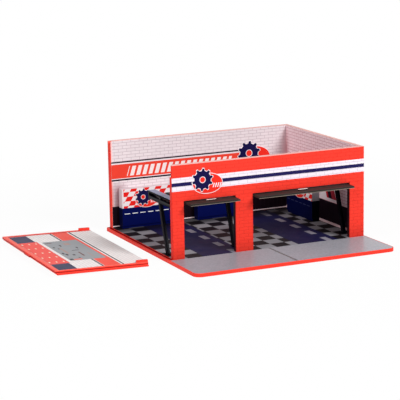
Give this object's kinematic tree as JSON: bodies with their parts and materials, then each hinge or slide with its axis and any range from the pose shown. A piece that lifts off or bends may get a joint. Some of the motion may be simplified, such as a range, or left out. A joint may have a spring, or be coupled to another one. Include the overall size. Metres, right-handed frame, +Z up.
{
  "type": "model garage",
  "caption": "Open-topped model garage on a forecourt tray, with roller-hung swing doors, workbenches with display boards, printed floor and walls, and a loose snap-in side wall.",
  "frame": {"origin": "middle of the tray's underside, on the surface the garage stands on", "axes": "+Z up out of the tray's underside, +X along the front wall from the open left side to the right wall, +Y from the forecourt to the back wall"},
  "size_m": [0.2641, 0.1798, 0.0761],
  "materials": {
    "tray_plastic": "moulded, satin gloss",
    "wall_plastic": "moulded with fine brick relief, satin gloss",
    "side_wall_plastic": "moulded, satin gloss",
    "floor_print": "printed checks and plain lanes, satin varnish",
    "forecourt_print": "printed plain grey, satin varnish",
    "wall_print": "printed brick, band and wainscot, satin varnish",
    "side_wall_print": "printed workshop wall, satin varnish",
    "sign_print": "printed oval with a plain cog, satin varnish",
    "track_plastic": "moulded, satin",
    "door_plastic": "moulded with shallow panel lines, satin",
    "handle_plastic": "silver moulded plastic",
    "rod_steel": "drawn wire, blackened",
    "roller_plastic": "turned, satin",
    "cabinet_plastic": "moulded, satin",
    "board_print": "printed slanted checks, satin varnish",
    "pull_plastic": "silver moulded plastic"
  },
  "bodies": {
    "garage": {"tray": "tray_plastic", "floor_card": "floor_print", "forecourt_card": "forecourt_print", "front_wall": "wall_plastic", "back_wall": "wall_plastic", "right_wall": "wall_plastic", "back_wall_card": "wall_print", "right_wall_card": "wall_print", "front_sign": "sign_print", "back_sign": "sign_print", "left_track": "track_plastic", "middle_track": "track_plastic", "right_track": "track_plastic", "left_bench_cabinet": "cabinet_plastic", "left_bench_board": "board_print", "left_bench_pulls": "pull_plastic", "middle_bench_cabinet": "cabinet_plastic", "middle_bench_board": "board_print", "middle_bench_pulls": "pull_plastic", "right_bench_cabinet": "cabinet_plastic", "right_bench_board": "board_print", "right_bench_pulls": "pull_plastic"},
    "small_door_carriage": {"small_door_rod": "rod_steel", "small_door_rollers": "roller_plastic"},
    "small_door": {"small_door_panel": "door_plastic", "small_door_handle": "handle_plastic"},
    "large_door_carriage": {"large_door_rod": "rod_steel", "large_door_rollers": "roller_plastic"},
    "large_door": {"large_door_panel": "door_plastic", "large_door_handle": "handle_plastic"},
    "side_wall": {"side_wall": "side_wall_plastic", "side_wall_card": "side_wall_print"}
  },
  "joints": [
    {"name": "small_door_slide", "type": "slide", "parent": "garage", "child": "small_door_carriage", "axis": [0, 1, 0], "range_m": [-0.0238, 0.0026]},
    {"name": "small_door_swing", "type": "hinge", "parent": "small_door_carriage", "child": "small_door", "pos_m": [-0.05125, -0.01065, 0.0449], "axis": [1, 0, 0], "range_deg": [-1, 89]},
    {"name": "large_door_slide", "type": "slide", "parent": "garage", "child": "large_door_carriage", "axis": [0, 1, 0], "range_m": [-0.0238, 0.0026]},
    {"name": "large_door_swing", "type": "hinge", "parent": "large_door_carriage", "child": "large_door", "pos_m": [0.0288, -0.01065, 0.0449], "axis": [1, 0, 0], "range_deg": [-1, 89]},
    {"name": "side_wall_lift", "type": "slide", "parent": "garage", "child": "side_wall", "axis": [0, 0, 1], "range_m": [0, 0.08]}
  ]
}
